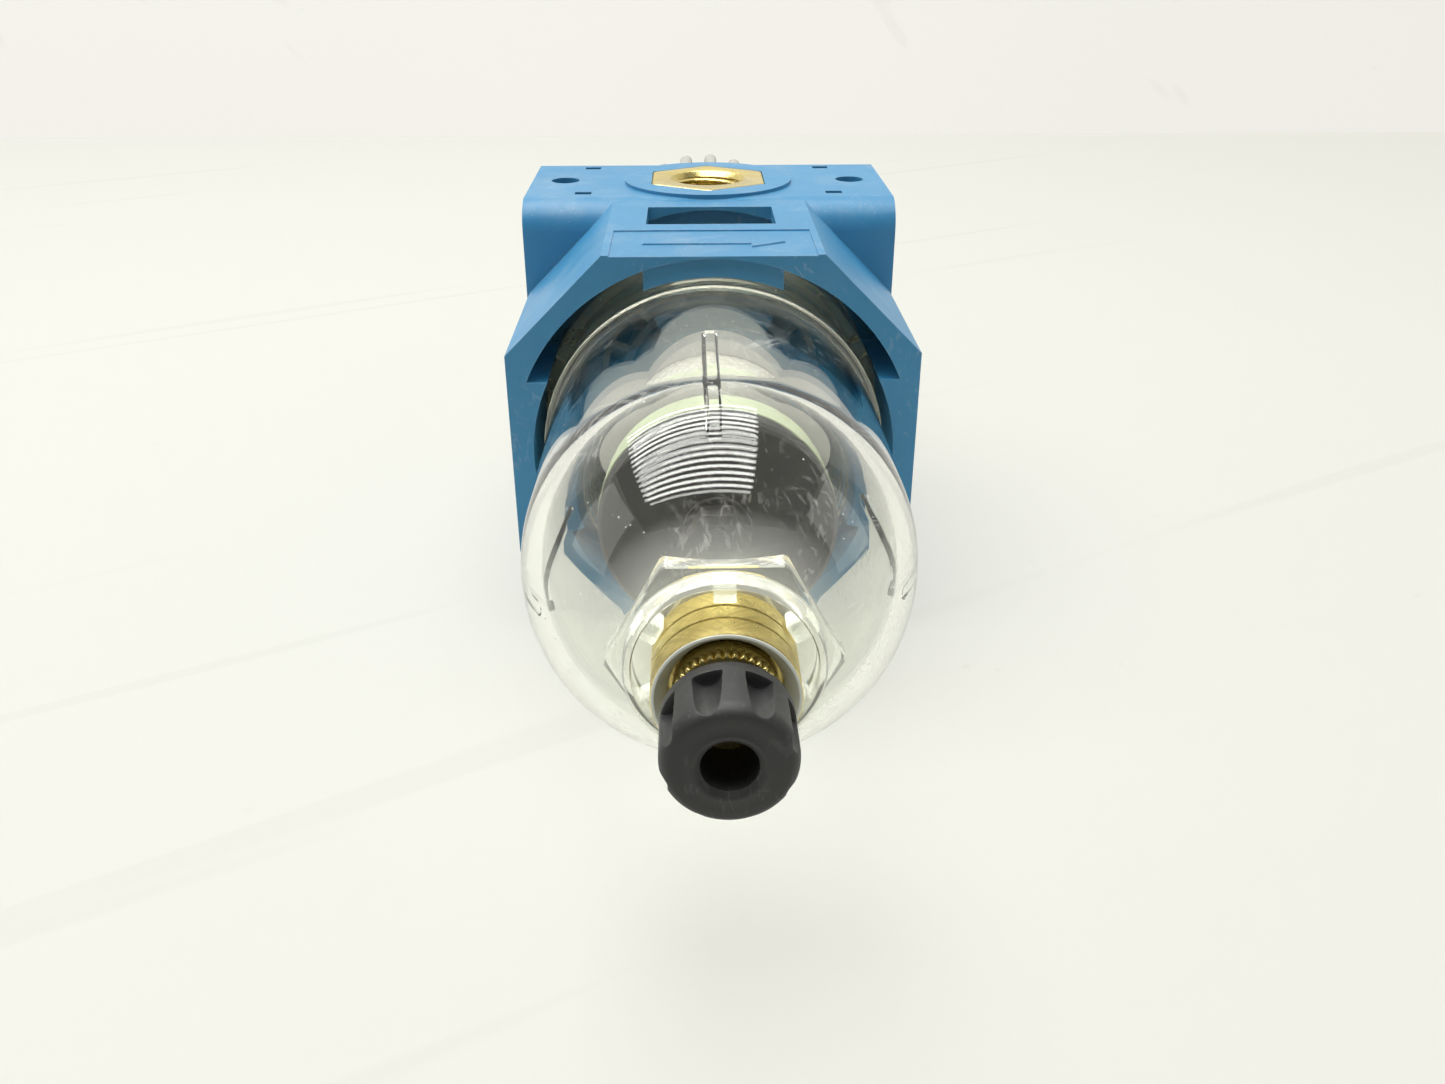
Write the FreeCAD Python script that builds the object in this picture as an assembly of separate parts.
"""Compressed air filter-regulator lying on its outlet port.

Every piece is drawn upright: Z runs up the bowl axis from the drain to the adjusting knob,
X is the width and Y the line through both ports, with the port axis at height zero.
lay_down() then turns each piece into the row's frame: the outlet boss rests on Z = 0,
the inlet faces +Z and the adjusting knob points along +Y.
"""
import FreeCAD, Part
import math
import os
from FreeCAD import Vector

# Head and collar of the housing
HEAD_HALF_WIDTH = 33.0
PORT_FACE = 32.85
HEAD_TOP = 15.8
HEAD_BOTTOM = -19.1
HEAD_EDGE_RADIUS = 5.0
COLLAR_FRONT = -54.8
COLLAR_HALF_WIDTH = 32.5
COLLAR_HALF_HEIGHT = 32.6
COLLAR_CHAMFER = 15.6
OPENING_RADIUS = 32.05
CLAW_RADIUS = 29.0
CLAW_REAR = -34.4
SIDE_CLAW_HALF = 12.7
END_CLAW_HALF = 10.7
WINDOW_HALF_WIDTH = 10.7
WINDOW_REAR = -21.5
PANEL_RECESS = 0.2
PANEL_REAR = -38.6
END_CLAW_SETBACK = 0.8
PANEL_MARGIN = 1.1
SPIGOT_OUTER = 23.7
SPIGOT_INNER = 20.4
SPIGOT_END = -31.0
GROOVE_BOTTOM = -28.3
GROOVE_TOP = -25.7
GROOVE_DEPTH = 1.7
BOWL_SEAL_SECTION = 0.95

# Ports and mounting holes
BOSS_RADIUS = 15.6
BOSS_HEIGHT = 0.6
PORT_HEX = 21.0
INSERT_DEPTH = 12.0
PORT_BORE = 5.72
PORT_CHAMFER = 1.2
PORT_CHAMFER_DEPTH = 1.0
TIE_HOLE_X = 26.85
TIE_HOLE_Z = 1.0
TIE_HOLE_RADIUS = 2.65
POCKET_DEPTH = 5.0
POCKET_WIDTH = 3.0
POCKET_HEIGHT = 2.0
POCKETS = ((22.4, 13.0), (22.7, -10.7))
GAUGE_Z = 9.2
GAUGE_BORE = 4.3
GAUGE_DEPTH = 9.0
GAUGE_HEAD = 5.8
GAUGE_COUNTERBORE = 3.0
GAUGE_SEAL = 0.9
GAUGE_NECK = 3.7
GAUGE_SOCKET = 5.0
GAUGE_SOCKET_DEPTH = 4.0

# Valve inside the head
CHAMBER_RADIUS = 8.5
CHAMBER_WALL = 3.5
AIR_RING_TOP = -9.0
SEAT_WALL = 1.4
SEAT_RADIUS = 3.6
SEAT_BOTTOM = -5.6
WEB_BOTTOM = -5.0
WEB_TOP = -2.0
UPPER_TOP = 9.0
SENSING_HOLE = 1.0
SENSING_X = 5.0
GAUGE_WAY = 1.4
GAUGE_WAY_Z = 7.0
OUTLET_WAY = 4.0
OUTLET_WAY_Z = 2.6
INLET_WAY = 5.0
INLET_DROP = 3.6
INLET_DROP_Y = -16.2
DIAPHRAGM_RECESS_BOTTOM = 12.0
DIAPHRAGM_RECESS = 21.0
PIN_RADIUS = 1.5
POPPET_STEM = 2.5
RUNNING = 0.06
POPPET_RADIUS = 5.6
POPPET_THICKNESS = 3.0
POPPET_END = -16.0
SEAT_GAP = 0.02
GUIDE_FLANGE = 11.6
GUIDE_BOTTOM = -22.6
GUIDE_FLANGE_TOP = -19.2
GUIDE_PLUG_TOP = -17.0
GUIDE_TOP = -13.2
GUIDE_SLEEVE = 4.6
GUIDE_HOLE = 1.3
GUIDE_HOLE_PLACE = 6.6
SCREW_PLACE = 24.0
SCREW_RADIUS = 2.0
SCREW_CORE = 1.7
SCREW_END = 6.5
SCREW_HEAD = 3.7
SCREW_HEAD_HEIGHT = 2.6
SCREW_SOCKET = 3.0

# Bowl
BOWL_RADIUS = 26.7
BOWL_INNER = 24.0
DOME_CENTRE = -90.9
BOWL_TOP = -20.6
BOWL_FLOOR = -112.4
NECK_RADIUS = 28.5
NECK_BAND = (-38.0, -23.5)
BEAD_RADIUS = 27.5
BEAD_BAND = (-53.2, -51.7)
LUG_RADIUS = 31.6
LUG_TOP = -29.6
LUG_BOTTOM = -34.1
LUG_HALF_ANGLE = 16.0
INDEX_RADIUS = 28.75
INDEX_BAND = (-41.0, -36.0)
INDEX_STARTS = (24.0, 149.0, 204.0, 329.0)
INDEX_ANGLE = 7.0
RIB_HALF_WIDTH = 0.8
RIB_HEIGHT = 0.8
RIB_BAND = (-101.6, -71.0)
RIB_START = -2.0
RIB_COUNT = 4

# Drain boss of the bowl
HEX_FLATS = 25.2
HEX_FRONT = -116.2
HEX_REAR = -106.0
BOSS_RING_OUTER = 12.0
BOSS_RING_INNER = 11.0
BOSS_RING_FRONT = -118.8
BOSS_FLOOR = -114.8
BOSS_WEB_HALF = 1.3
BOSS_WEB_FRONT = -118.1
BOSS_WEB_COUNT = 6
DRAIN_HOLE = 6.1

# Filter element and baffles
VANE_BAND = (-30.0, -22.5)
VANE_INNER = 15.1
VANE_HUB = 16.4
VANE_RIM = 19.2
VANE_OUTER = 20.3
VANE_HALF = 0.6
VANE_TILT = 32.0
VANE_COUNT = 16
ELEMENT_OUTER = 14.6
ELEMENT_INNER = 11.0
ELEMENT_TOP = -24.0
ELEMENT_BOTTOM = -73.9
GASKET_OUTER = 13.9
GASKET_INNER = 9.0
LOBE_COUNT = 5
LOBE_REACH = 22.0
LOBE_RADIUS = 9.4
LOBE_NOTCH = 17.9
LOBE_FRONT = -53.6
LOBE_THICKNESS = 2.0
LOBE_HUB = 16.6
LOBE_HUB_TOP = -46.0
ELEMENT_FIT = 0.15
CAP_RADIUS = 17.9
CAP_TOP = -69.0
CAP_FRONT = -78.4
BAFFLE_RADIUS = 17.7
BAFFLE_THICKNESS = 2.0
BAFFLE_EDGE = 0.6
STUD_RADIUS = 2.0
STUD_FRONT = -86.0
STUD_TOP = -21.0
THREAD_GAP = 0.02
NUT_FLATS = 8.0
NUT_HEIGHT = 4.0
NUT_FLANGE = 5.0
NUT_FLANGE_HEIGHT = 0.9

# Drain
FLANGE_RADIUS = 8.66
DRAIN_FRONT = -124.5
DRAIN_TOP = -108.2
FLANGE_GROOVES = (-118.1, -120.9)
GROOVE_HALF = 0.2
GROOVE_CUT = 0.25
MOUTH_RADIUS = 8.2
MOUTH_FLOOR = -121.2
SHANK_RADIUS = 6.0
WASHER_FRONT = -124.3
WASHER_THROAT = 6.6
SEAL_THICKNESS = 0.6
DRAIN_NUT_FLATS = 15.0
DRAIN_NUT_HEIGHT = 2.2
STEM_RADIUS = 3.0
STEM_FRONT = -129.5
STEM_SHOULDER = -112.0
STEM_TIP = -110.4
STEM_TIP_RADIUS = 1.35
STEM_BORE = 1.3
STEM_BORE_TOP = -113.4
CROSS_HOLE = 0.8
CROSS_HOLE_Z = -114.2
STEM_SEAL_BAND = (-118.4, -117.0)
STEM_SEAL_DEPTH = 0.75
DRAIN_WAY = 1.2
CONE_BAND = (-111.9, -110.0)
RING_REAR = -121.5
RING_FRONT = -125.1
RING_RADIUS = 6.1
KNURL_RADIUS = 6.4
KNURL_DEPTH = 0.6
KNURL_REAR = -123.3
KNURL_HALF = 0.3
KNURL_TEETH = 40
HOSE_RADIUS = 3.15
HOSE_DEPTH = 7.0
HOSE_CHAMFER = 0.6
KNOB_HUB = 5.2
KNOB_REAR = -127.9
KNOB_FRONT = -137.1
KNOB_RADIUS = 7.5
KNOB_ROUNDING = 1.9
FLUTE_COUNT = 8
FLUTE_START = -18.0
FLUTE_HALF = 1.75
FLUTE_REAR = -129.8
FLUTE_REAR_RADIUS = 5.9
FLUTE_FRONT_RADIUS = 7.3

# Bonnet, springs and adjusting knob
BONNET_FLANGE_TOP = 20.0
BONNET_HALF = 30.5
BONNET_CORNER = 7.0
BONNET_RADIUS = 24.0
BONNET_TAPER = 2.2
NECK_BOTTOM = 38.0
NECK_TOP = 56.0
BONNET_NECK = 18.8
SPRING_CHAMBER = 16.0
SPRING_MOUTH = 19.5
SPRING_MOUTH_TOP = 26.0
CHAMBER_TOP = 50.0
KEY_REACH = 0.9
KEY_HALF = 1.4
KEYWAY_GAP = 0.3
KEYWAY_BOTTOM = 30.0
SCREW_POCKET = 4.0
SCREW_SEAT = 18.4
MAIN_COIL = 10.4
MAIN_WIRE = 1.3
MAIN_TURNS = 5.0
POPPET_COIL = 3.4
POPPET_WIRE = 0.45
POPPET_TURNS = 2.5
PLATE_BAND = (42.4, 44.6)
PLATE_RADIUS = 14.6
PLATE_HUB = 7.0
PLATE_HUB_BAND = (40.0, 46.2)
SPINDLE_RADIUS = 4.0
SPINDLE_BOTTOM = 30.0
SPINDLE_TOP = 66.0
SPINDLE_HEX = 10.0
SPINDLE_HEX_BOTTOM = 58.0
THRUST_RADIUS = 8.0
THRUST_BAND = (47.2, 48.6)
THRUST_WASHER_BAND = (48.7, 49.9)
DIAPHRAGM_RADIUS = 23.7
DIAPHRAGM_HOLE = 2.6
DIAPHRAGM_THICKNESS = 1.2
DISC_RADIUS = 13.5
DISC_THICKNESS = 1.8
DISC_RIM_OUTER = 8.2
DISC_RIM_INNER = 7.0
DISC_RIM_HEIGHT = 1.2
DISC_BOSS = 2.5
PIN_TOP = 13.2
GRIP_BOTTOM = 40.5
GRIP_TOP = 78.0
GRIP_TIP = 24.2
GRIP_VALLEY = 20.9
GRIP_INNER = 19.2
GRIP_CEILING = 57.5
GRIP_TEETH = 24
GRIP_PHASE = 4.4
TOOTH_HALF = 1.45
TOOTH_ROUNDING = 1.3
CAP_POCKET = 15.1
CAP_POCKET_FLOOR = 70.0
CAP_DISC = 15.0
CAP_DISC_BAND = (76.0, 77.6)
CAP_SKIRT_OUTER = 14.2
CAP_SKIRT_INNER = 12.4

UP = Vector(0, 0, 1)
SCREW_CORNERS = [(x, y) for x in (-SCREW_PLACE, SCREW_PLACE) for y in (-SCREW_PLACE, SCREW_PLACE)]


def cylinder(radius, bottom, top, x=0.0, y=0.0):
    """Upright cylinder between two heights."""
    return Part.makeCylinder(radius, top - bottom, Vector(x, y, bottom), UP)


def ring(outer, inner, bottom, top):
    """Upright tube between two heights."""
    return cylinder(outer, bottom, top).cut(cylinder(inner, bottom - 1, top + 1))


def cone(bottom_radius, top_radius, bottom, top):
    """Upright cone frustum between two heights."""
    return Part.makeCone(bottom_radius, top_radius, top - bottom, Vector(0, 0, bottom), UP)


def box(x0, x1, y0, y1, z0, z1):
    """Box between two corners."""
    return Part.makeBox(x1 - x0, y1 - y0, z1 - z0, Vector(x0, y0, z0))


def prism(points, bottom, top):
    """Upright prism over a closed outline of (x, y) points."""
    corners = [Vector(x, y, bottom) for x, y in points]
    face = Part.Face(Part.makePolygon(corners + corners[:1]))
    return face.extrude(Vector(0, 0, top - bottom))


def hexagon(flats, bottom, top, corner_angle=0.0):
    """Upright hexagonal prism of a given width across flats."""
    reach = flats / math.sqrt(3)
    angles = [math.radians(corner_angle + 60 * k) for k in range(6)]
    return prism([(reach * math.cos(a), reach * math.sin(a)) for a in angles], bottom, top)


def fuse(shapes):
    """One solid from several overlapping ones."""
    return shapes[0].multiFuse(shapes[1:]).removeSplitter()


def turned(shape, angle):
    """Copy turned about the bowl axis."""
    copy = shape.copy()
    copy.rotate(Vector(0, 0, 0), UP, angle)
    return copy


def around(shape, count, start=0.0):
    """Evenly spaced copies about the bowl axis."""
    return [turned(shape, start + k * 360.0 / count) for k in range(count)]


def between(first, second, radius, x=0.0, z=0.0):
    """Cylinder parallel to the port axis, between two places in either order."""
    return Part.makeCylinder(radius, abs(second - first), Vector(x, min(first, second), z), Vector(0, 1, 0))


def along_x(radius, x0, x1, y=0.0, z=0.0):
    """Cylinder across the width."""
    return Part.makeCylinder(radius, x1 - x0, Vector(x0, y, z), Vector(1, 0, 0))


def o_ring(centre_radius, section, z):
    """Rubber ring round the bowl axis."""
    return Part.makeTorus(centre_radius, section, Vector(0, 0, z), UP)


def coil(radius, wire, bottom, top, turns):
    """Spring of round wire round the bowl axis, its ends lying on the wire's centre heights."""
    height = top - bottom - 2 * wire
    path = Part.makeHelix(height / turns, height, radius)
    section = Part.Wire(Part.makeCircle(wire, Vector(radius, 0, 0), Vector(0, 1, 0)))
    spring = Part.Wire(path.Edges).makePipeShell([section], True, True)
    spring.translate(Vector(0, 0, bottom + wire))
    return spring


def port_hex(y0, y1):
    """Hexagonal prism along the port axis with two flats facing the sides."""
    shape = hexagon(PORT_HEX, y0, y1, 30.0)
    shape.rotate(Vector(0, 0, 0), Vector(1, 0, 0), -90)
    return shape


def across(radius, near, far, side):
    """Cylinder across the width on the gauge port axis, between two depths under one side face."""
    x0 = side * (HEAD_HALF_WIDTH - near)
    x1 = side * (HEAD_HALF_WIDTH - far)
    return along_x(radius, min(x0, x1), max(x0, x1), z=GAUGE_Z)


# Housing

def head_block():
    """Square head with its two bowl-side edges rounded and a low boss round each port."""
    block = box(-HEAD_HALF_WIDTH, HEAD_HALF_WIDTH, -PORT_FACE, PORT_FACE, HEAD_BOTTOM, HEAD_TOP)
    edges = []
    for edge in block.Edges:
        middle = edge.CenterOfMass
        if abs(middle.x) < 1e-3 and abs(middle.z - HEAD_BOTTOM) < 1e-3:
            edges.append(edge)
    block = block.makeFillet(HEAD_EDGE_RADIUS, edges)
    outer = PORT_FACE + BOSS_HEIGHT
    return block.multiFuse([between(side * (PORT_FACE - 0.5), side * outer, BOSS_RADIUS) for side in (-1, 1)])


def collar_block():
    """Octagonal collar round the bowl, reaching a little into the head."""
    w = COLLAR_HALF_WIDTH
    h = COLLAR_HALF_HEIGHT
    c = COLLAR_CHAMFER
    right = [(w - c, -h), (w, c - h), (w, h - c), (w - c, h)]
    outline = right + [(-x, -y) for x, y in right]
    return prism(outline, COLLAR_FRONT, HEAD_BOTTOM + 8.0)


def claws():
    """Four bayonet claws inside the collar's mouth."""
    band = ring(OPENING_RADIUS + 0.1, CLAW_RADIUS, COLLAR_FRONT, CLAW_REAR)
    reach = COLLAR_HALF_WIDTH
    sides = box(-reach, reach, -SIDE_CLAW_HALF, SIDE_CLAW_HALF, COLLAR_FRONT, CLAW_REAR)
    front = COLLAR_FRONT + END_CLAW_SETBACK
    ends = box(-END_CLAW_HALF, END_CLAW_HALF, -reach, reach, front, CLAW_REAR)
    return [band.common(sides), band.common(ends)]


def flow_passages():
    """Air ways, port pockets, screw holes and gauge ports cut out of the head."""
    insert_floor = PORT_FACE + BOSS_HEIGHT - INSERT_DEPTH
    cuts = [
        ring(SPIGOT_INNER, CHAMBER_RADIUS + CHAMBER_WALL, HEAD_BOTTOM - 1, AIR_RING_TOP),
        cylinder(CHAMBER_RADIUS, HEAD_BOTTOM - 1, WEB_BOTTOM),
        cylinder(SEAT_RADIUS + SEAT_WALL, WEB_BOTTOM - 1, WEB_TOP + 1),
        cylinder(CHAMBER_RADIUS, WEB_TOP, UPPER_TOP),
        cylinder(PIN_RADIUS + RUNNING, UPPER_TOP - 1, DIAPHRAGM_RECESS_BOTTOM + 1),
        cylinder(SENSING_HOLE, UPPER_TOP - 1, DIAPHRAGM_RECESS_BOTTOM + 1, x=SENSING_X),
        cylinder(DIAPHRAGM_RECESS, DIAPHRAGM_RECESS_BOTTOM, HEAD_TOP + 1),
        between(0.0, insert_floor + 1, OUTLET_WAY, z=OUTLET_WAY_Z),
        between(INLET_DROP_Y, -insert_floor - 1, INLET_WAY),
        cylinder(INLET_DROP, AIR_RING_TOP - 0.5, 0.0, y=INLET_DROP_Y),
    ]
    for side in (-1, 1):
        mouth = side * (PORT_FACE + BOSS_HEIGHT + 1)
        floor = side * insert_floor
        cuts.append(port_hex(min(mouth, floor), max(mouth, floor)))
        cuts.append(across(GAUGE_HEAD + 0.2, -1.0, GAUGE_COUNTERBORE, side))
        cuts.append(across(GAUGE_BORE, 0.0, GAUGE_DEPTH, side))
        cuts.append(along_x(GAUGE_WAY, min(side * 25.0, 0), max(side * 25.0, 0), z=GAUGE_WAY_Z))
        cuts.append(between(-PORT_FACE - 1, PORT_FACE + 1, TIE_HOLE_RADIUS, side * TIE_HOLE_X, TIE_HOLE_Z))
        for x, z in POCKETS:
            for face in (-PORT_FACE - 1, PORT_FACE - POCKET_DEPTH):
                left = side * x - POCKET_WIDTH / 2
                low = z - POCKET_HEIGHT / 2
                ends = (face, face + POCKET_DEPTH + 1)
                cuts.append(box(left, left + POCKET_WIDTH, *ends, low, low + POCKET_HEIGHT))
        for end in (-1, 1):
            place = (side * SCREW_PLACE, end * SCREW_PLACE)
            cuts.append(cylinder(SCREW_CORE, SCREW_END - 1, HEAD_TOP + 1, *place))
    return cuts


def collar_hollow():
    """Round mouth, two windows and the shallow panels on the two flat faces of the collar."""
    bore = ring(OPENING_RADIUS, SPIGOT_OUTER, SPIGOT_END, HEAD_BOTTOM)
    mouth = cylinder(OPENING_RADIUS, COLLAR_FRONT - 1, SPIGOT_END)
    reach = COLLAR_HALF_HEIGHT + 1
    window = box(-WINDOW_HALF_WIDTH, WINDOW_HALF_WIDTH, -reach, reach, CLAW_REAR, WINDOW_REAR)
    window = window.cut(cylinder(OPENING_RADIUS - 0.5, CLAW_REAR - 1, WINDOW_REAR + 1))
    panel_half = COLLAR_HALF_WIDTH - COLLAR_CHAMFER - PANEL_MARGIN
    panels = box(-panel_half, panel_half, -reach, reach, COLLAR_FRONT - 1, PANEL_REAR)
    depth = COLLAR_HALF_HEIGHT - PANEL_RECESS
    panels = panels.cut(box(-reach, reach, -depth, depth, COLLAR_FRONT - 1, PANEL_REAR + 1))
    return [bore, mouth, window, panels]


def seal_groove():
    """Groove for the bowl seal near the end of the spigot."""
    return ring(SPIGOT_OUTER + 1, SPIGOT_OUTER - GROOVE_DEPTH, GROOVE_BOTTOM, GROOVE_TOP)


def housing():
    """Moulded head and collar in one piece."""
    body = head_block().fuse(collar_block())
    spigot_base = cylinder(SPIGOT_OUTER, SPIGOT_END, HEAD_BOTTOM)
    body = body.cut(Part.makeCompound(collar_hollow()))
    body = body.multiFuse(claws() + [spigot_base.common(collar_block())])
    inner_air = cylinder(SPIGOT_INNER, SPIGOT_END - 1, HEAD_BOTTOM)
    body = body.cut(Part.makeCompound([inner_air, seal_groove()]))
    for cut in flow_passages():
        body = body.cut(cut)
    return body.removeSplitter()


def port_insert(side):
    """Brass threaded hexagon moulded into a port, flush with its boss."""
    mouth = side * (PORT_FACE + BOSS_HEIGHT)
    floor = side * (PORT_FACE + BOSS_HEIGHT - INSERT_DEPTH)
    body = port_hex(min(mouth, floor), max(mouth, floor))
    body = body.cut(between(floor - side, mouth + side, PORT_BORE))
    inward = Vector(0, -side, 0)
    mouth_radius = PORT_BORE + PORT_CHAMFER
    chamfer = Part.makeCone(mouth_radius, PORT_BORE, PORT_CHAMFER_DEPTH, Vector(0, mouth, 0), inward)
    return body.cut(chamfer)


def gauge_plug(side):
    """Brass plug with a hexagon socket, flush in a gauge port."""
    shank = across(GAUGE_BORE, GAUGE_COUNTERBORE, GAUGE_DEPTH - 1.0, side)
    head = across(GAUGE_HEAD, 0.1, GAUGE_COUNTERBORE - GAUGE_SEAL, side)
    neck = across(GAUGE_NECK, 0.5, GAUGE_COUNTERBORE + 0.5, side)
    socket = hexagon(GAUGE_SOCKET, -1.0, GAUGE_SOCKET_DEPTH)
    socket.rotate(Vector(0, 0, 0), Vector(0, 1, 0), -90 * side)
    socket.translate(Vector(side * HEAD_HALF_WIDTH, 0, GAUGE_Z))
    return fuse([shank, neck, head]).cut(socket)


def gauge_seal(side):
    """Flat seal under the head of a gauge plug."""
    top = GAUGE_COUNTERBORE - GAUGE_SEAL
    seal = across(GAUGE_HEAD - 0.2, top, GAUGE_COUNTERBORE, side)
    return seal.cut(across(GAUGE_NECK, top - 1, GAUGE_COUNTERBORE + 1, side))


# Bowl and what hangs inside it

def dome(radius):
    """Solid tube end: a cylinder up to the neck and a half ball below it."""
    ball = Part.makeSphere(radius, Vector(0, 0, DOME_CENTRE))
    return cylinder(radius, DOME_CENTRE, BOWL_TOP).fuse(ball)


def wall_rib():
    """Raised rib down the inside of the wall and dome."""
    strip = box(0, BOWL_INNER + 1, -RIB_HALF_WIDTH, RIB_HALF_WIDTH, *RIB_BAND)
    return strip.common(dome(BOWL_INNER + 0.5)).cut(dome(BOWL_INNER - RIB_HEIGHT))


def drain_boss():
    """Round rim with six webs that surrounds the drain fitting."""
    rim = ring(BOSS_RING_OUTER, BOSS_RING_INNER, BOSS_RING_FRONT, HEX_FRONT + 1)
    web = box(FLANGE_RADIUS + 0.1, BOSS_RING_INNER + 0.5, -BOSS_WEB_HALF, BOSS_WEB_HALF, BOSS_WEB_FRONT,
              BOSS_FLOOR + 0.5)
    return [rim] + around(web, BOSS_WEB_COUNT, 30.0)


def lug(start, end, inner, outer, bottom, top):
    """Segment of a ring between two angles in degrees."""
    sector = Part.makeCylinder(outer, top - bottom, Vector(0, 0, bottom), UP, end - start)
    return turned(sector, start).cut(cylinder(inner, bottom - 1, top + 1))


def bowl():
    """Clear bowl with bayonet lugs, index blocks, inside ribs and a hexagonal drain boss."""
    parts = [
        dome(BOWL_RADIUS),
        ring(NECK_RADIUS, BOWL_INNER + 1, *NECK_BAND),
        ring(BEAD_RADIUS, BOWL_INNER + 1, *BEAD_BAND),
        hexagon(HEX_FLATS, HEX_FRONT, HEX_REAR),
    ]
    locks = lug(-LUG_HALF_ANGLE, LUG_HALF_ANGLE, BOWL_INNER + 1, LUG_RADIUS, LUG_BOTTOM, LUG_TOP)
    parts += around(locks, 4)
    for start in INDEX_STARTS:
        parts.append(lug(start, start + INDEX_ANGLE, BOWL_INNER + 1, INDEX_RADIUS, *INDEX_BAND))
    body = parts[0].multiFuse(parts[1:])
    inside = dome(BOWL_INNER).cut(box(-30, 30, -30, 30, -120, BOWL_FLOOR))
    recess = cylinder(BOSS_RING_INNER, DOME_CENTRE - BOWL_RADIUS - 1, BOSS_FLOOR)
    body = body.cut(inside).cut(recess)
    body = body.multiFuse(drain_boss() + around(wall_rib(), RIB_COUNT, RIB_START))
    return body.cut(cylinder(DRAIN_HOLE, BOSS_FLOOR - 1, BOWL_FLOOR + 1)).removeSplitter()


def bowl_seal():
    """Ring in the spigot groove that seals against the bowl."""
    return o_ring(SPIGOT_OUTER - 0.75, BOWL_SEAL_SECTION, (GROOVE_BOTTOM + GROOVE_TOP) / 2)


def swirl_vane():
    """Ring of slanted vanes that spins the incoming air."""
    inner = ring(VANE_HUB, VANE_INNER, *VANE_BAND)
    outer = ring(VANE_OUTER, VANE_RIM, *VANE_BAND)
    blade = box(VANE_HUB - 0.6, VANE_RIM + 0.6, -VANE_HALF, VANE_HALF, *VANE_BAND)
    middle = Vector((VANE_HUB + VANE_RIM) / 2, 0, sum(VANE_BAND) / 2)
    blade.rotate(middle, Vector(1, 0, 0), VANE_TILT)
    blade = blade.common(ring(VANE_RIM + 0.6, VANE_HUB - 0.8, *VANE_BAND))
    return fuse([inner, outer] + around(blade, VANE_COUNT))


def lobed_deflector():
    """Skirt with five rounded lobes round the filter element."""
    top = LOBE_FRONT + LOBE_THICKNESS
    lobe = cylinder(LOBE_RADIUS, LOBE_FRONT, top, x=LOBE_REACH - LOBE_RADIUS)
    skirt = [cylinder(LOBE_NOTCH, LOBE_FRONT, top)] + around(lobe, LOBE_COUNT, -90.0)
    hub = cylinder(LOBE_HUB, LOBE_FRONT, LOBE_HUB_TOP)
    return fuse(skirt + [hub]).cut(cylinder(ELEMENT_OUTER + ELEMENT_FIT, LOBE_FRONT - 1, LOBE_HUB_TOP + 1))


def filter_element():
    """Porous sleeve that the air passes from outside to inside."""
    return ring(ELEMENT_OUTER, ELEMENT_INNER, ELEMENT_BOTTOM, ELEMENT_TOP)


def element_gasket():
    """Flat ring between the sleeve and the poppet guide."""
    return ring(GASKET_OUTER, GASKET_INNER, ELEMENT_TOP, GUIDE_BOTTOM)


def element_cap():
    """Pale cup that closes the lower end of the sleeve."""
    cup = cylinder(CAP_RADIUS, CAP_FRONT, CAP_TOP)
    pocket = cylinder(ELEMENT_OUTER + 0.1, ELEMENT_BOTTOM, CAP_TOP + 1)
    return cup.cut(pocket).cut(cylinder(STUD_RADIUS + 0.1, CAP_FRONT - 1, CAP_TOP))


def baffle_plate():
    """Dark disc that keeps the settled water calm."""
    front = CAP_FRONT - BAFFLE_THICKNESS
    disc = cone(BAFFLE_RADIUS - BAFFLE_EDGE, BAFFLE_RADIUS, front - BAFFLE_EDGE, front)
    disc = disc.fuse(cylinder(BAFFLE_RADIUS, front, CAP_FRONT))
    return disc.cut(cylinder(STUD_RADIUS + 0.1, CAP_FRONT - 3, CAP_FRONT + 1)).removeSplitter()


def element_stud():
    """Threaded rod that draws the cap and sleeve up to the poppet guide."""
    return cylinder(STUD_RADIUS, STUD_FRONT, STUD_TOP)


def element_nut():
    """Hexagon nut under the baffle plate."""
    top = CAP_FRONT - BAFFLE_THICKNESS - BAFFLE_EDGE
    body = hexagon(NUT_FLATS, top - NUT_HEIGHT, top).fuse(cylinder(NUT_FLANGE, top - NUT_FLANGE_HEIGHT, top))
    return body.cut(cylinder(STUD_RADIUS + THREAD_GAP, top - NUT_HEIGHT - 1, top + 1)).removeSplitter()


# Drain

def drain_body():
    """Brass fitting through the bowl floor, with two grooves round its flange and a flared mouth."""
    flange = cylinder(FLANGE_RADIUS, DRAIN_FRONT, BOSS_FLOOR)
    for z in FLANGE_GROOVES:
        band = (z - GROOVE_HALF, z + GROOVE_HALF)
        flange = flange.cut(ring(FLANGE_RADIUS + 1, FLANGE_RADIUS - GROOVE_CUT, *band))
    body = flange.fuse(cylinder(SHANK_RADIUS, BOSS_FLOOR, DRAIN_TOP))
    body = body.cut(cylinder(MOUTH_RADIUS, DRAIN_FRONT - 1, MOUTH_FLOOR))
    body = body.cut(cylinder(STEM_RADIUS + RUNNING, DRAIN_FRONT - 1, CONE_BAND[0]))
    body = body.cut(cone(STEM_RADIUS + RUNNING, DRAIN_WAY, *CONE_BAND))
    return body.cut(cylinder(DRAIN_WAY, CONE_BAND[0], DRAIN_TOP + 1)).removeSplitter()


def drain_washer():
    """Pale dished ring that lines the mouth of the drain fitting."""
    body = cylinder(MOUTH_RADIUS, WASHER_FRONT, MOUTH_FLOOR)
    return body.cut(cone(MOUTH_RADIUS - 0.05, WASHER_THROAT, WASHER_FRONT, MOUTH_FLOOR))


def drain_seal():
    """Flat ring under the inside nut."""
    return ring(DRAIN_NUT_FLATS / 2, DRAIN_HOLE, BOWL_FLOOR, BOWL_FLOOR + SEAL_THICKNESS)


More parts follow.
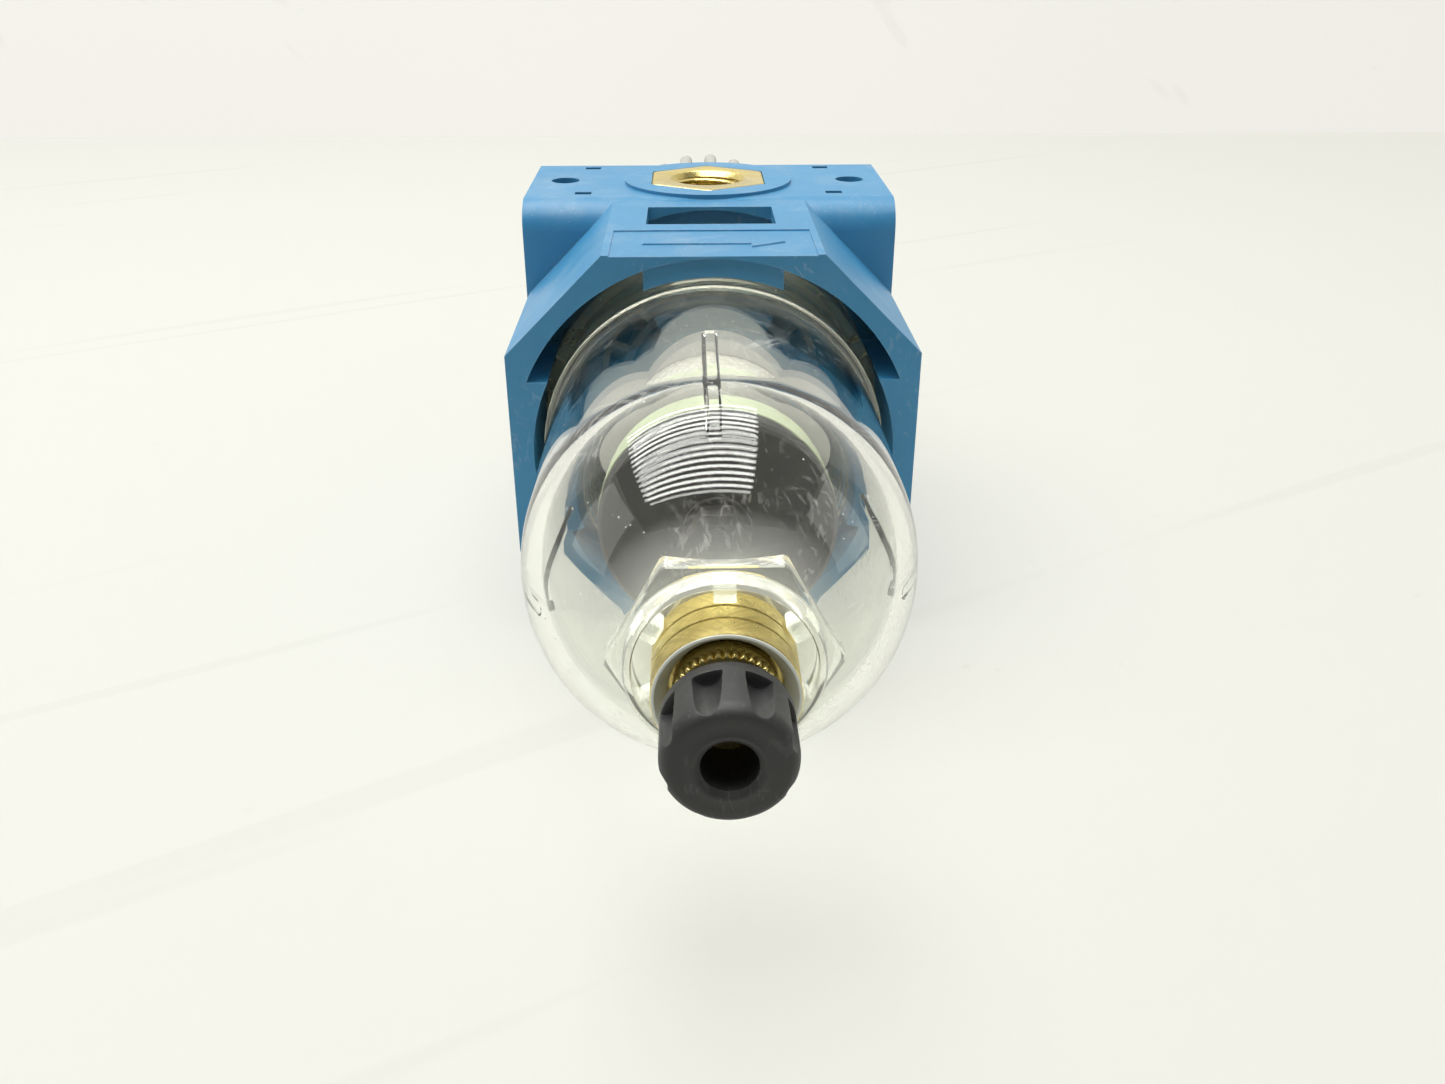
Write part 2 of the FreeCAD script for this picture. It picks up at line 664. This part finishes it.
def drain_nut():
    """Thin brass nut that clamps the drain fitting from inside the bowl."""
    bottom = BOWL_FLOOR + SEAL_THICKNESS
    body = hexagon(DRAIN_NUT_FLATS, bottom, bottom + DRAIN_NUT_HEIGHT)
    return body.cut(cylinder(SHANK_RADIUS + THREAD_GAP, BOWL_FLOOR, bottom + DRAIN_NUT_HEIGHT + 1))


def drain_stem():
    """Hollow screw whose cone closes the drain."""
    body = cylinder(STEM_RADIUS, STEM_FRONT, STEM_SHOULDER)
    body = body.fuse(cone(STEM_RADIUS, STEM_TIP_RADIUS, STEM_SHOULDER, STEM_TIP))
    body = body.cut(cylinder(STEM_BORE, STEM_FRONT - 1, STEM_BORE_TOP))
    body = body.cut(along_x(CROSS_HOLE, -STEM_RADIUS - 1, STEM_RADIUS + 1, z=CROSS_HOLE_Z))
    return body.cut(ring(STEM_RADIUS + 1, STEM_RADIUS - STEM_SEAL_DEPTH, *STEM_SEAL_BAND)).removeSplitter()


def stem_seal():
    """Small ring on the drain stem."""
    bottom, top = STEM_SEAL_BAND
    return ring(STEM_RADIUS + 0.02, STEM_RADIUS - STEM_SEAL_DEPTH + 0.03, bottom + 0.1, top - 0.1)


def knurled_ring():
    """Brass ring pressed on the stem, knurled round its front half."""
    body = ring(RING_RADIUS, STEM_RADIUS, RING_FRONT, RING_REAR)
    tooth = box(RING_RADIUS - KNURL_DEPTH, KNURL_RADIUS, -KNURL_HALF, KNURL_HALF, RING_FRONT, KNURL_REAR)
    return fuse([body] + around(tooth, KNURL_TEETH))


def knob_flute():
    """Wedge that cuts one flute, deepest at the rear of the knob."""
    outside = KNOB_RADIUS + 1
    rear = [(FLUTE_REAR_RADIUS, FLUTE_REAR), (outside, FLUTE_REAR)]
    front = [(outside, KNOB_FRONT), (FLUTE_FRONT_RADIUS, KNOB_FRONT)]
    points = [Vector(x, -FLUTE_HALF, z) for x, z in rear + front]
    return Part.Face(Part.makePolygon(points + points[:1])).extrude(Vector(0, 2 * FLUTE_HALF, 0))


def drain_knob():
    """Black knob with eight flutes, a rounded front edge and a hose socket."""
    body = cylinder(KNOB_RADIUS, KNOB_FRONT, KNOB_REAR)
    rim = [e for e in body.Edges if abs(e.CenterOfMass.z - KNOB_FRONT) < 1e-3 and e.Closed]
    body = body.makeFillet(KNOB_ROUNDING, rim)
    for flute in around(knob_flute(), FLUTE_COUNT, FLUTE_START):
        body = body.cut(flute)
    body = body.fuse(cylinder(KNOB_HUB, KNOB_REAR - 1, RING_FRONT))
    body = body.cut(cylinder(HOSE_RADIUS, KNOB_FRONT - 1, KNOB_FRONT + HOSE_DEPTH))
    body = body.cut(cone(HOSE_RADIUS + HOSE_CHAMFER, HOSE_RADIUS, KNOB_FRONT, KNOB_FRONT + HOSE_CHAMFER))
    return body.cut(cylinder(STEM_RADIUS, STEM_FRONT, RING_FRONT + 1)).removeSplitter()


# Regulator

def valve_seat():
    """Brass bush with a raised lip that the poppet closes."""
    bush = ring(SEAT_RADIUS + SEAT_WALL, SEAT_RADIUS, WEB_BOTTOM, WEB_TOP)
    lip = ring(SEAT_RADIUS + SEAT_WALL / 2, SEAT_RADIUS, SEAT_BOTTOM, WEB_BOTTOM)
    return fuse([bush, lip])


def valve_poppet():
    """Stemmed valve with a soft disc face."""
    underside = SEAT_BOTTOM - POPPET_THICKNESS
    disc = cylinder(POPPET_RADIUS, underside, SEAT_BOTTOM - SEAT_GAP)
    return fuse([disc, cylinder(POPPET_STEM, POPPET_END, underside)])


def valve_pin():
    """Steel pin that passes the diaphragm's movement to the poppet."""
    return cylinder(PIN_RADIUS, SEAT_BOTTOM - SEAT_GAP, PIN_TOP)


def poppet_guide():
    """Screwed plug that guides the poppet and carries the filter element."""
    plug = cylinder(CHAMBER_RADIUS - 0.05, GUIDE_FLANGE_TOP, GUIDE_PLUG_TOP)
    sleeve = cylinder(GUIDE_SLEEVE, GUIDE_PLUG_TOP, GUIDE_TOP)
    flange = cylinder(GUIDE_FLANGE, GUIDE_BOTTOM, GUIDE_FLANGE_TOP)
    bore = cylinder(POPPET_STEM + RUNNING, GUIDE_FLANGE_TOP + 0.2, GUIDE_TOP + 1)
    body = fuse([plug, sleeve, flange]).cut(bore)
    for hole in around(cylinder(GUIDE_HOLE, GUIDE_BOTTOM - 1, GUIDE_PLUG_TOP + 1, x=GUIDE_HOLE_PLACE), 6):
        body = body.cut(hole)
    return body.cut(cylinder(STUD_RADIUS + THREAD_GAP, GUIDE_BOTTOM - 1, STUD_TOP + 0.1)).removeSplitter()


def poppet_spring():
    """Light spring that closes the poppet."""
    return coil(POPPET_COIL, POPPET_WIRE, GUIDE_TOP + 0.1, SEAT_BOTTOM - POPPET_THICKNESS - 0.1, POPPET_TURNS)


def diaphragm():
    """Rubber disc clamped between head and bonnet."""
    return ring(DIAPHRAGM_RADIUS, DIAPHRAGM_HOLE, HEAD_TOP, HEAD_TOP + DIAPHRAGM_THICKNESS)


def diaphragm_plate():
    """Plate on the diaphragm with a boss that meets the valve pin."""
    base = HEAD_TOP + DIAPHRAGM_THICKNESS
    top = base + DISC_THICKNESS
    rim = ring(DISC_RIM_OUTER, DISC_RIM_INNER, top, top + DISC_RIM_HEIGHT)
    return fuse([cylinder(DISC_RADIUS, base, top), rim, cylinder(DISC_BOSS, PIN_TOP, base)])


def main_spring():
    """Spring that sets the outlet pressure."""
    bottom = HEAD_TOP + DIAPHRAGM_THICKNESS + DISC_THICKNESS + 0.1
    return coil(MAIN_COIL, MAIN_WIRE, bottom, PLATE_BAND[0] - 0.1, MAIN_TURNS)


def spring_plate():
    """Travelling nut that presses the main spring, keyed to the bonnet."""
    reach = SPRING_CHAMBER + KEY_REACH
    keys = box(-reach, reach, -KEY_HALF, KEY_HALF, *PLATE_BAND)
    body = fuse([cylinder(PLATE_RADIUS, *PLATE_BAND), cylinder(PLATE_HUB, *PLATE_HUB_BAND), keys])
    return body.cut(cylinder(SPINDLE_RADIUS + RUNNING, PLATE_HUB_BAND[0] - 1, PLATE_HUB_BAND[1] + 1))


def spindle():
    """Threaded spindle with a thrust collar, turned by the adjusting knob."""
    rod = cylinder(SPINDLE_RADIUS, SPINDLE_BOTTOM, SPINDLE_TOP)
    collar = cylinder(THRUST_RADIUS, *THRUST_BAND)
    return fuse([rod, collar, hexagon(SPINDLE_HEX, SPINDLE_HEX_BOTTOM, SPINDLE_TOP)])


def thrust_washer():
    """Slippery washer between the spindle's collar and the bonnet."""
    return ring(THRUST_RADIUS, SPINDLE_RADIUS + 0.3, *THRUST_WASHER_BAND)


def bonnet():
    """Grey spring housing with a square flange."""
    flange = box(-BONNET_HALF, BONNET_HALF, -BONNET_HALF, BONNET_HALF, HEAD_TOP, BONNET_FLANGE_TOP)
    uprights = [e for e in flange.Edges if abs(e.CenterOfMass.z - (HEAD_TOP + BONNET_FLANGE_TOP) / 2) < 1e-3]
    flange = flange.makeFillet(BONNET_CORNER, uprights)
    shell = cone(BONNET_RADIUS, BONNET_RADIUS - BONNET_TAPER, BONNET_FLANGE_TOP, NECK_BOTTOM)
    body = flange.multiFuse([shell, cylinder(BONNET_NECK, NECK_BOTTOM, NECK_TOP)])
    keyway_reach = SPRING_CHAMBER + KEY_REACH + KEYWAY_GAP
    keyway_half = KEY_HALF + KEYWAY_GAP
    cuts = [
        cylinder(DIAPHRAGM_RADIUS + 0.1, HEAD_TOP - 1, HEAD_TOP + DIAPHRAGM_THICKNESS),
        cone(SPRING_MOUTH, SPRING_CHAMBER, HEAD_TOP, SPRING_MOUTH_TOP),
        cylinder(SPRING_CHAMBER, SPRING_MOUTH_TOP - 1, CHAMBER_TOP),
        cylinder(SPINDLE_RADIUS + RUNNING, CHAMBER_TOP - 1, NECK_TOP + 1),
        box(-keyway_reach, keyway_reach, -keyway_half, keyway_half, KEYWAY_BOTTOM, CHAMBER_TOP),
    ]
    for x, y in SCREW_CORNERS:
        cuts.append(cylinder(SCREW_RADIUS + 0.25, HEAD_TOP - 1, BONNET_FLANGE_TOP + 1, x, y))
        cuts.append(cylinder(SCREW_POCKET, SCREW_SEAT, NECK_BOTTOM, x, y))
    for cut in cuts:
        body = body.cut(cut)
    return body.removeSplitter()


def bonnet_screw(x, y):
    """Pan head screw that holds a corner of the bonnet."""
    shank = cylinder(SCREW_CORE, SCREW_END, SCREW_SEAT, x, y)
    head = cylinder(SCREW_HEAD, SCREW_SEAT, SCREW_SEAT + SCREW_HEAD_HEIGHT, x, y)
    socket = hexagon(SCREW_SOCKET, SCREW_SEAT + 1.0, SCREW_SEAT + SCREW_HEAD_HEIGHT + 1)
    socket.translate(Vector(x, y, 0))
    return shank.fuse(head).cut(socket)


def bonnet_screws():
    """The four screws at the corners of the bonnet."""
    return Part.makeCompound([bonnet_screw(x, y) for x, y in SCREW_CORNERS])


def adjusting_knob():
    """Grey knob with a ring of finger ribs, keyed on the spindle."""
    rib = box(GRIP_VALLEY - 1, GRIP_TIP, -TOOTH_HALF, TOOTH_HALF, GRIP_BOTTOM + 1.0, GRIP_TOP)
    tips = [e for e in rib.Edges if abs(e.CenterOfMass.x - GRIP_TIP) < 1e-3 and abs(e.CenterOfMass.y) > 0.1]
    rib = rib.makeFillet(TOOTH_ROUNDING, tips)
    body = cylinder(GRIP_VALLEY, GRIP_BOTTOM, GRIP_TOP).multiFuse(around(rib, GRIP_TEETH, 90.0 + GRIP_PHASE))
    hollow = cylinder(GRIP_INNER, GRIP_BOTTOM - 1, GRIP_CEILING)
    socket = hexagon(SPINDLE_HEX + 2 * RUNNING, GRIP_CEILING - 0.5, SPINDLE_TOP + 1)
    pocket = cylinder(CAP_POCKET, CAP_POCKET_FLOOR, GRIP_TOP + 1)
    return body.cut(hollow).cut(socket).cut(pocket).removeSplitter()


def knob_cap():
    """Round cap in the end of the adjusting knob."""
    disc = cylinder(CAP_DISC, *CAP_DISC_BAND)
    skirt = ring(CAP_SKIRT_OUTER, CAP_SKIRT_INNER, CAP_POCKET_FLOOR + 0.2, CAP_DISC_BAND[0])
    return fuse([disc, skirt])


def lay_down(shape):
    """Turn an upright piece onto its outlet port: knob along +Y, inlet up."""
    copy = shape.copy()
    copy.rotate(Vector(0, 0, 0), Vector(1, 0, 0), -90)
    copy.translate(Vector(0, 0, PORT_FACE + BOSS_HEIGHT))
    return copy


PIECES = {
    "housing": housing(),
    "inlet_insert": port_insert(-1),
    "outlet_insert": port_insert(1),
    "gauge_plug_left": gauge_plug(-1),
    "gauge_plug_right": gauge_plug(1),
    "gauge_seal_left": gauge_seal(-1),
    "gauge_seal_right": gauge_seal(1),
    "bowl": bowl(),
    "bowl_seal": bowl_seal(),
    "swirl_vane": swirl_vane(),
    "lobed_deflector": lobed_deflector(),
    "filter_element": filter_element(),
    "element_gasket": element_gasket(),
    "element_cap": element_cap(),
    "baffle_plate": baffle_plate(),
    "element_stud": element_stud(),
    "element_nut": element_nut(),
    "drain_body": drain_body(),
    "drain_washer": drain_washer(),
    "drain_seal": drain_seal(),
    "drain_nut": drain_nut(),
    "drain_stem": drain_stem(),
    "stem_seal": stem_seal(),
    "knurled_ring": knurled_ring(),
    "drain_knob": drain_knob(),
    "valve_seat": valve_seat(),
    "valve_poppet": valve_poppet(),
    "valve_pin": valve_pin(),
    "poppet_guide": poppet_guide(),
    "poppet_spring": poppet_spring(),
    "diaphragm": diaphragm(),
    "diaphragm_plate": diaphragm_plate(),
    "main_spring": main_spring(),
    "spring_plate": spring_plate(),
    "spindle": spindle(),
    "thrust_washer": thrust_washer(),
    "bonnet": bonnet(),
    "bonnet_screws": bonnet_screws(),
    "adjusting_knob": adjusting_knob(),
    "knob_cap": knob_cap(),
}

os.makedirs("parts", exist_ok=True)
for node, shape in PIECES.items():
    lay_down(shape).exportStep("parts/" + node + ".step")
